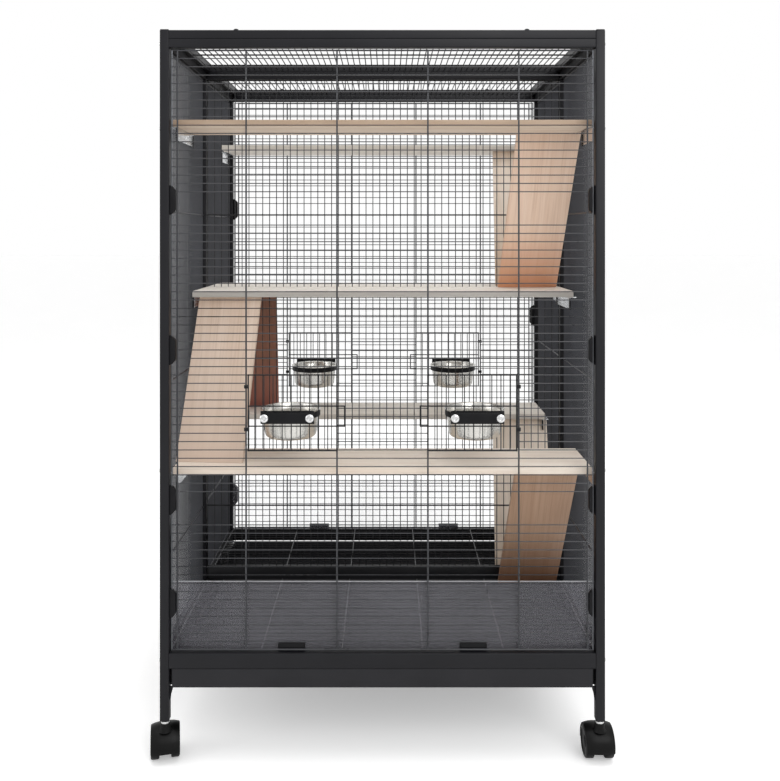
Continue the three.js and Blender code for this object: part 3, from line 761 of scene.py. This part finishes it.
class CAGE_OT_doors(bpy.types.Operator):
    """Full-height doors with their rods"""
    bl_idname = "cage.doors"
    bl_label = "Doors"

    def execute(self, context):
        s = context.scene.cage_wires
        thin, stout = s.thin / MM, s.stout / MM
        for face in FACES:
            bm = bmesh.new()
            y = DOOR_Y - thin
            rows = {}
            for gap in range(s.door_gaps + 1):
                z = level(gap)
                end = BORDER_X if any(abs(z - level(block)) < BLOCK_REACH for block in BLOCK_GAPS) else ROD_X
                open_here = level(OPENING_GAPS[0]) + 2 < z < level(OPENING_GAPS[1]) - 2
                above = z > level(sum(OPENING_GAPS) / 2)
                rows.setdefault((end, open_here, above, sum(z > level(b) for b in BLOCK_GAPS)), []).append(z)
            near, far = OPENING_X
            for (end, open_here, _, _), heights in rows.items():
                for x0, x1 in ((-end, -far), (-near, near), (far, end)) if open_here else ((-end, end),):
                    spans(bm, heights, x0, x1, y, thin)
            middle = sum(DOOR_Z) / 2
            for x in (-BORDER_X, -far, -near, near, far, BORDER_X):
                add_bar(bm, (x, DOOR_Y + stout - thin, middle), "Z", DOOR_Z[1] - DOOR_Z[0], stout, sides=12)
            for z in DOOR_Z:
                z += stout if z < middle else -stout
                add_bar(bm, (0, DOOR_Y, z), "X", 2 * BORDER_X + 2, stout, sides=12)
            rods = bmesh.new()
            for sign in (-1, 1):
                x = sign * ROD_X
                merged(rods, rod((x, DOOR_Y, DOOR_Z[0]), (x, DOOR_Y, DOOR_Z[1]), 1.7, 16))
                for gap in STUB_GAPS:
                    z = level(gap)
                    merged(bm, rod((x, DOOR_Y, z), (sign * BORDER_X, DOOR_Y, z), 1.6, 10))
            piece(f"{face}_door_wires", turned(bm, face), "powder-coated steel door wire", f"{face}_door",
                  [f"{face}_door"])
            piece(f"{face}_door_rods", turned(rods, face), "zinc-plated steel rod", f"{face}_door", ())
        return {"FINISHED"}


class CAGE_OT_feeders(bpy.types.Operator):
    """Feeder hatches with their clamps and bowls"""
    bl_idname = "cage.feeders"
    bl_label = "Feeders"

    def execute(self, context):
        for face in FACES:
            for side, sign in SIDES:
                self.hatch(context, face, side, sign)
                self.clamp(face, side, sign)
                self.bowl(context, face, side, sign)
        return {"FINISHED"}

    @staticmethod
    def hatch(context, face, side, sign):
        thin = context.scene.cage_wires.thin / MM
        pitch = context.scene.cage_feeders.hatch_pitch / MM
        bm = bmesh.new()
        y = HATCH_Y
        low, high = level(OPENING_GAPS[0]) - 0.5, level(OPENING_GAPS[1]) + 0.5
        latch_x, hinge_x = (sign * x for x in HATCH_X)
        x0, x1 = sorted((hinge_x, latch_x))
        middle, height = (low + high) / 2, high - low
        first = HATCH_FIRST_BARS[side]
        add_row(bm, 9, (first, y, middle), (pitch, 0, 0), "Z", height, thin)
        for x in (x0 + 1.6, x1 - 1.6):
            add_bar(bm, (x, y, middle), "Z", height + 3, 1.6, sides=12)
        for z in (low, high):
            add_bar(bm, ((x0 + x1) / 2, y, z), "X", x1 - x0, 1.6, sides=12)
        end = sign * LATCH_END
        for z in LATCHES:
            merged(bm, rod((hinge_x, y, z), (end, y, z), 1.5, 12))
        merged(bm, rod((end, y, LATCHES[0] - 1.3), (end, y, LATCHES[1] + 1.3), 1.5, 12))
        for z in HATCH_EYES:
            ring = lathe([(2.8, -3.6), (4.5, -3.6), (4.5, 3.6), (2.8, 3.6)], 24, closed=True)
            merged(bm, ring, Matrix.Translation((sign * OPENING_X[1], DOOR_Y, z)))
            merged(bm, rod((sign * 297.4, DOOR_Y - 2.4, z), (sign * 294.4, y, z), 1.5, 10))
        piece(f"{face}_{side}_hatch_wires", turned(bm, face), "powder-coated steel mesh", f"{face}_{side}_feeder",
              [f"{face}_{side}_hatch"])

    @staticmethod
    def clamp(face, side, sign):
        x, y = sign * BOWL[0], HATCH_Y
        bm = bmesh.new()
        merged(bm, box((x - 58, y - 7.5, CLAMP_Z - 12), (x + 58, y - 1.8, CLAMP_Z + 12), 2.4, 3))
        merged(bm, box((x - 59, y + 1.8, CLAMP_Z - 14.5), (x + 59, y + 4.6, CLAMP_Z + 14.5), 1.2, 2))
        low, high = CLAMP_RING
        ring = lathe([(63.2, low), (67.0, low), (67.0, high), (63.2, high)], 72, closed=True)
        merged(bm, ring, Matrix.Translation((x, BOWL[1], 0)))
        piece(f"{face}_{side}_clamp_bars", turned(bm, face), "moulded ABS", f"{face}_{side}_feeder",
              [f"{face}_{side}_bowl_clamp"])
        bm = bmesh.new()
        for dx in (-50, 50):
            head = lathe([(0, 0), (8.6, 0), (9, 0.5), (9, 2.2), (7.6, 3.4), (4.4, 3.9), (3.4, 1.4), (0, 1.4)], 32)
            merged(bm, head, Matrix.Translation((x + dx, y - 7.4, CLAMP_Z)) @ Matrix.Rotation(math.pi / 2, 4, "X"))
            merged(bm, rod((x + dx, y - 7, CLAMP_Z), (x + dx, y + 5.6, CLAMP_Z), 3, 16))
        piece(f"{face}_{side}_clamp_screws", turned(bm, face), "nickel-plated steel", f"{face}_{side}_feeder", ())

    @staticmethod
    def bowl(context, face, side, sign):
        s = context.scene.cage_feeders
        rim, depth = s.bowl_rim / MM, s.bowl_depth / MM
        base = BOWL[2]
        top = base + depth
        wall = [(0, base), (49, base), (53.2, base + 1.0), (56.4, base + 3.6), (58.4, base + 7.6), (59.6, base + 14),
                (60.6, base + 28), (61.8, base + 44), (62.4, top - 4.6), (64.6, top - 3.8), (67.4, top - 3.3),
                (rim, top - 2.0), (67.6, top - 0.5), (65.4, top), (62.8, top - 0.6), (61.4, top - 2.4),
                (60.4, base + 44), (59.2, base + 28.2), (58.2, base + 14.4), (57.0, base + 8.6), (55.2, base + 5.0),
                (52.4, base + 2.6), (48.4, base + 1.5), (0, base + 1.5)]
        bm = moved(lathe(wall, 96), half(face) @ Matrix.Translation((sign * BOWL[0], BOWL[1], 0)))
        piece(f"{face}_{side}_dish", bm, "spun stainless steel", f"{face}_{side}_feeder", [f"{face}_{side}_bowl"],
              60)


class CAGE_OT_screens(bpy.types.Operator):
    """Clear screens and the clips that hold them"""
    bl_idname = "cage.screens"
    bl_label = "Clear screens"

    def execute(self, context):
        for face in FACES:
            (outer, inner), (foot, head), end = SCREEN_Y, SCREEN_Z, INSIDE_X + 0.2
            sheet = box((-end, outer, foot), (end, inner, head), 0.5, 2)
            piece(f"{face}_screen_sheet", turned(sheet, face), "clear cast acrylic", "cage",
                  [f"{face}_clear_screen"])
            # a pale strip along the top edge: the saw cut's frosting and a painted highlight
            edge = box((-end, outer - 0.1, head), (end, inner + 0.1, head + 1.5), 0.3, 1)
            piece(f"{face}_screen_top_edge", turned(edge, face), "clear cast acrylic sawn edge", "cage", ())
            bm = bmesh.new()
            for x in SCREEN_CLIPS:
                merged(bm, box((x - 30, -390.8, 241.3), (x + 30, -386.3, 259), 1.0, 2))
            piece(f"{face}_screen_clips", turned(bm, face), "moulded ABS", "cage", ())
        return {"FINISHED"}


# The end of each shelf at which a ramp's head meets it in the front half, and each shelf's top and near edge.
HEAD_SIDES = {"upper": 1, "middle": -1, "lower": 1}
SHELVES = {"upper": (1414.0, -368.0), "middle": (1019.0, -176.0), "lower": (639.0, -368.0)}


class CAGE_OT_shelves(bpy.types.Operator):
    """Shelves of ply on zinc angles"""
    bl_idname = "cage.shelves"
    bl_label = "Shelves"

    def execute(self, context):
        edge = context.scene.cage_boards.edge / MM
        for face in FACES:
            for name, (top, near) in SHELVES.items():
                board = box((-INSIDE_X, near, top - SHELF_THICKNESS), (INSIDE_X, near + SHELF_DEPTH, top), edge, 2)
                place = "back" if face == "back" and name != "middle" else name
                piece(f"{face}_{name}_board", turned(board, face), f"sealed birch ply {place} shelf", "cage",
                      [f"{face}_{name}_shelf"])
                angles, tips = bmesh.new(), bmesh.new()
                for sign in (-1, 1):
                    x, z = sign * ANGLE_X, top - SHELF_THICKNESS
                    # Beside a ramp's head the upright leg hugs the wall, so that the ramp passes. That holds in the
                    # front half only. The back half's angles are turned half a turn and its ramps aren't, so there
                    # the long angle is on the ramp's side, and cuts into the heads of the upper and lower ramps.
                    if sign == HEAD_SIDES[name]:
                        leg, (reach, gap) = 0, SHORT_ANGLES[name]
                    else:
                        leg, (reach, gap) = sign * ANGLE_LEG, LONG_ANGLE
                    front = near + gap
                    lip, foot = sign * 2, z - ANGLE_DROP
                    points = [(x, z), (x, z - 2), (x - leg, z - 2), (x - leg, foot), (x - leg - lip, foot),
                              (x - leg - lip, z - 2), (x - sign * 17, z - 2), (x - sign * 17, z)]
                    if leg:
                        points = points[:5] + points[-1:]
                    else:
                        points = points[:1] + points[3:]
                    angle = prism(points, reach, 0.5, 2)
                    stand = Matrix.Translation((0, front + reach, 0)) @ Matrix.Rotation(math.pi / 2, 4, "X")
                    merged(angles, angle, stand)
                    for y in (front, front + reach - 4):
                        lo, hi = sorted((x - leg - sign * 3.2, x - leg))
                        merged(tips, box((lo, y - 3, z - 31), (hi, y + 7, z - 3), 0.8, 2))
                piece(f"{face}_{name}_angles", turned(angles, face), "zinc-plated sheet steel", "cage", (),
                      30)
                piece(f"{face}_{name}_angle_tips", turned(tips, face), "moulded ABS", "cage", ())
        return {"FINISHED"}


# Middle of each of the front half's ramps, its run in Y from head to foot, and its head and foot levels. The back
# half's ramps mirror them front to back, and stand on the same side of the cage.
RAMPS = {
    "upper": (387.0, (-229.0, -20.0), (1398.7, 1019.3)),
    "middle": (-387.0, (-140.0, -322.0), (1003.7, 639.3)),
    "lower": (387.0, (-229.0, -20.0), (623.7, 244.8)),
}
RAMP_TURN = math.radians(5)
# Pale, mid and dark colour of each ramp, and the colour of its foot. The ramps are one ply: their colours differ from
# ramp to ramp, and towards the feet, as painted light and shade, where each lies in the light or under a shelf.
RAMP_COLOURS_WITH_PAINTED_LIGHT = {
    ("upper", "front"): ("#f0d6c2", "#e4c4ab", "#bd957b", "#d3936a"),
    ("lower", "front"): ("#cba98f", "#ba957a", "#957055", "#86593e"),
    ("middle", "front"): ("#d8c4b4", "#cbb39f", "#a88d78", "#d2bcab"),
    ("upper", "back"): ("#efe2d4", "#e6d4c2", "#c4ab96", "#dcc2a8"),
    ("lower", "back"): ("#f6eadd", "#eedecd", "#cdb9a4", "#e6d3bf"),
    ("middle", "back"): ("#9a6a53", "#8c604e", "#624235", "#985d51"),
}
# The back's middle ramp has a red-brown underside, painted shade where it faces down and away from the light, and a
# pale upper side, in the colours of its twin.
UPPER_SIDES = {("middle", "back"): ("#d8c4b4", "#cbb39f", "#a88d78")}


class CAGE_OT_ramps(bpy.types.Operator):
    """Ramps of ply between the shelves"""
    bl_idname = "cage.ramps"
    bl_label = "Ramps"

    def execute(self, context):
        edge = context.scene.cage_boards.edge / MM
        for name, (x, run, heights) in RAMPS.items():
            for face in FACES:
                flip = 1 if face == "front" else -1
                dy, dz = flip * (run[1] - run[0]), heights[1] - heights[0]
                slope = math.atan2(dz, dy)
                label = f"sanded birch ply {name} {face} ramp"
                if label not in MATERIALS:
                    pale, mid, dark, foot = (srgb(code) for code in RAMP_COLOURS_WITH_PAINTED_LIGHT[name, face])
                    # the foot's colour, blended in over the last 0.16 m of height, is painted light and shade
                    tail = (heights[1] * MM, 0.16, foot)
                    upper = [srgb(code) for code in UPPER_SIDES.get((name, face), ())]
                    turn = (-slope, 0, -math.pi / 2)
                    MATERIALS[label] = birch_ply(label, pale, mid, dark, None, turn, tail, upper)
                half_cut = RAMP_THICKNESS * math.hypot(dy, dz) / abs(dz) / 2
                y0, y1 = flip * (run[0] - run[1]) / 2, flip * (run[1] - run[0]) / 2
                z0, z1 = heights
                outline = [(y0 - half_cut, z0), (y1 - half_cut, z1), (y1 + half_cut, z1), (y0 + half_cut, z0)]
                bm = prism(outline, RAMP_WIDTH, edge, 2)
                stand = Matrix(((0, 0, 1, -RAMP_WIDTH / 2), (1, 0, 0, 0), (0, 1, 0, 0), (0, 0, 0, 1)))
                where = Matrix.Translation((x, flip * (run[0] + run[1]) / 2, 0))
                askew = Matrix.Rotation(math.copysign(RAMP_TURN, x) * flip, 4, "Z")
                piece(f"{face}_{name}_ramp_board", moved(bm, where @ askew @ stand), label, "cage",
                      [f"{face}_{name}_ramp"])
        return {"FINISHED"}


class CAGE_OT_tray(bpy.types.Operator):
    """Slide-out tray"""
    bl_idname = "cage.tray"
    bl_label = "Tray"

    def execute(self, context):
        piece("tray_pan", node_shape("tray", 0.8, 3), "powder-coated sheet steel", "tray", ["tray"])
        return {"FINISHED"}


def on_axle(bm, sign=1):
    """A lathed shape laid along a caster's axle, with its top towards +X or -X."""
    return moved(bm, Matrix.Translation((0, TRAIL, AXLE_Z)) @ Matrix.Rotation(sign * math.pi / 2, 4, "Y"))


class CAGE_OT_casters(bpy.types.Operator):
    """Twin-wheel casters under hoods"""
    bl_idname = "cage.casters"
    bl_label = "Casters"

    def execute(self, context):
        for face in FACES:
            for side, sign in SIDES:
                turn = math.radians(CASTER_TURNS[side])
                place = half(face) @ Matrix.Translation((sign * POST_X, DOOR_Y, 0)) @ Matrix.Rotation(turn, 4, "Z")
                piece(f"{face}_{side}_hood", moved(self.hood(), place), "moulded nylon", f"{face}_{side}_caster",
                      [f"{face}_{side}_caster_hood"], 32)
                piece(f"{face}_{side}_wheel_pair", moved(self.wheels(context), place), "moulded polyurethane",
                      f"{face}_{side}_wheels", [f"{face}_{side}_caster_wheels"], 32)
                stem = bmesh.new()
                merged(stem, rod((0, 0, 86), (0, 0, 119), 5, 20))
                merged(stem, lathe([(5, 86.4), (9.4, 86.4), (9.4, 90.4), (8.8, 91), (5, 91)], 32, closed=True))
                piece(f"{face}_{side}_stem", moved(stem, place), "nickel-plated steel", f"{face}_{side}_caster", ())
        return {"FINISHED"}

    @staticmethod
    def hood():
        shell = lathe([(0, -31.5), (34.5, -31.5), (36.6, -30.4), (38.4, -25), (39.9, -17), (40.5, -9), (40.5, 9),
                       (39.9, 17), (38.4, 25), (36.6, 30.4), (34.5, 31.5), (0, 31.5)], 72)
        on_axle(shell)
        tools = []
        for sign in (-1, 1):
            well = lathe([(0, 10.9), (35.1, 10.9), (35.1, 29.3), (33.6, 29.3), (33.6, 40), (0, 40)], 60)
            tools.append(on_axle(well, sign))
        tools.append(box((-45, -45, AXLE_Z - 60), (45, 85, AXLE_Z - 8)))
        body = carved(shell, *tools)
        merged(body, lathe([(0, 68), (14, 68), (12.2, 73), (11, 78), (11, 85.6), (10, 86.6), (0, 86.6)], 40))
        return body

    @staticmethod
    def wheels(context):
        s = context.scene.cage_casters
        r = s.wheel / MM
        half_profile = [(4, 12.5), (r - 2.5, 12.5), (r - 0.8, 13.3), (r, 15.2), (r, 27.8), (r - 1.1, 30.2),
                        (r - 3.6, 31.4), (r - 6.5, 31.4), (r - 8.0, 30.0), (r - 11.0, 29.2), (13, 28.6), (11, 30.0),
                        (7.0, 30.8), (0, 31.0)]
        profile = [(rad, -x) for rad, x in reversed(half_profile)] + half_profile
        return on_axle(lathe(profile, s.segments))


# The camera: its place in metres, and its focal length and the picture's width in pixels.
CAMERA_PLACE = (0.010, -2.293, 1.1638)
FOCAL_PIXELS = 864.0
PHOTO_WIDTH = 780.0


class CAGE_OT_stage(bpy.types.Operator):
    """Pale floor, soft light and the camera"""
    bl_idname = "cage.stage"
    bl_label = "Stage"

    def execute(self, context):
        scene = context.scene
        s = scene.cage_stage
        mesh = bpy.data.meshes.new("floor")
        mesh.from_pydata([(-30, -12, 0), (30, -12, 0), (30, 40, 0), (-30, 40, 0)], [], [(0, 1, 2, 3)])
        floor = linked("floor", mesh)
        mesh.materials.append(self.floor_material(tuple(s.floor) + (1,)))

        world = bpy.data.worlds.new("surroundings")
        scene.world = world
        world.use_nodes = True
        tree = world.node_tree
        tree.nodes.clear()
        path = add_node(tree, "ShaderNodeLightPath")
        seen = maths(tree, "MAXIMUM", path.outputs["Is Camera Ray"], path.outputs["Is Transmission Ray"])
        glossy = maths(tree, "MAXIMUM", seen, path.outputs["Is Glossy Ray"])
        light = add_node(tree, "ShaderNodeBackground", {
            "Color": (1, 1, 1, 1), "Strength": spread(tree, glossy, s.fill, 1.0, 0.0, 1.0),
        })
        add_node(tree, "ShaderNodeOutputWorld", {"Surface": light.outputs[0]})

        self.lamp("key", (1.6, -3.2, 2.6), (0, 0, 0.8), 2.4, s.key)
        self.lamp("overhead", (0.2, -0.2, 3.6), (0, 0, 0.6), 3.0, s.key * 0.9)
        self.lamp("side", (-3.2, -1.2, 1.6), (0, 0, 0.8), 2.0, s.key * 0.35)

        camera = bpy.data.cameras.new("camera")
        camera.sensor_fit = "HORIZONTAL"
        camera.sensor_width = 36.0
        camera.lens = 36.0 * FOCAL_PIXELS / PHOTO_WIDTH
        camera.shift_x = 3.0 / PHOTO_WIDTH
        camera.shift_y = -158.5 / PHOTO_WIDTH
        camera.clip_end = 200.0
        view = linked("camera", camera)
        view.location = CAMERA_PLACE
        view.rotation_euler = (math.pi / 2, 0, 0)
        scene.camera = view
        scene.view_settings.view_transform = "Standard"
        return {"FINISHED"}

    @staticmethod
    def lamp(name, place, target, size, power):
        light = bpy.data.lights.new(name, "AREA")
        light.shape = "SQUARE"
        light.size = size
        light.energy = power
        obj = linked(name, light)
        obj.location = place
        obj.rotation_euler = (Vector(target) - Vector(place)).to_track_quat("-Z", "Y").to_euler()

    @staticmethod
    def floor_material(tint):
        material, tree, coords = new_material("pale floor")
        cloud = noise(tree, coords, 500.0, 3.0)
        shader = add_node(tree, "ShaderNodeBsdfPrincipled", {
            "Base Color": tint, "Roughness": spread(tree, cloud, 0.55, 0.7),
        })
        seen = add_node(tree, "ShaderNodeLightPath").outputs["Is Camera Ray"]
        glow = add_node(tree, "ShaderNodeEmission", {
            "Color": (1, 1, 1, 1), "Strength": spread(tree, seen, 0.0, 0.32, 0.0, 1.0),
        })
        both = add_node(tree, "ShaderNodeAddShader", {0: shader.outputs["BSDF"], 1: glow.outputs[0]})
        return finish_material(material, tree, both.outputs[0])


class CAGE_PT_panel(bpy.types.Panel):
    """Lists the settings and steps of the cage"""
    bl_idname = "CAGE_PT_panel"
    bl_label = "Ferret Cage"
    bl_space_type = "VIEW_3D"
    bl_region_type = "UI"
    bl_category = "Cage"

    def draw(self, context):
        for name in SETTINGS:
            group = getattr(context.scene, name)
            for prop in group.bl_rna.properties:
                if prop.identifier not in ("rna_type", "name"):
                    self.layout.prop(group, prop.identifier)
        for operator in OPERATORS:
            self.layout.operator(operator.bl_idname)


SETTINGS = {
    "cage_frame": CageFrameSettings,
    "cage_wires": CageWireSettings,
    "cage_feeders": CageFeederSettings,
    "cage_boards": CageBoardSettings,
    "cage_screens": CageScreenSettings,
    "cage_casters": CageCasterSettings,
    "cage_stage": CageStageSettings,
}
OPERATORS = (CAGE_OT_frame, CAGE_OT_walls, CAGE_OT_doors, CAGE_OT_feeders, CAGE_OT_screens, CAGE_OT_shelves,
             CAGE_OT_ramps, CAGE_OT_tray, CAGE_OT_casters, CAGE_OT_stage)


def register():
    for name, group in SETTINGS.items():
        bpy.utils.register_class(group)
        setattr(bpy.types.Scene, name, PointerProperty(type=group))
    for operator in OPERATORS:
        bpy.utils.register_class(operator)
    bpy.utils.register_class(CAGE_PT_panel)


def unregister():
    bpy.utils.unregister_class(CAGE_PT_panel)
    for operator in reversed(OPERATORS):
        bpy.utils.unregister_class(operator)
    for name, group in reversed(SETTINGS.items()):
        delattr(bpy.types.Scene, name)
        bpy.utils.unregister_class(group)


def main():
    register()
    for operator in OPERATORS:
        family, step = operator.bl_idname.split(".")
        getattr(getattr(bpy.ops, family), step)()


if __name__ == "__main__":
    main()
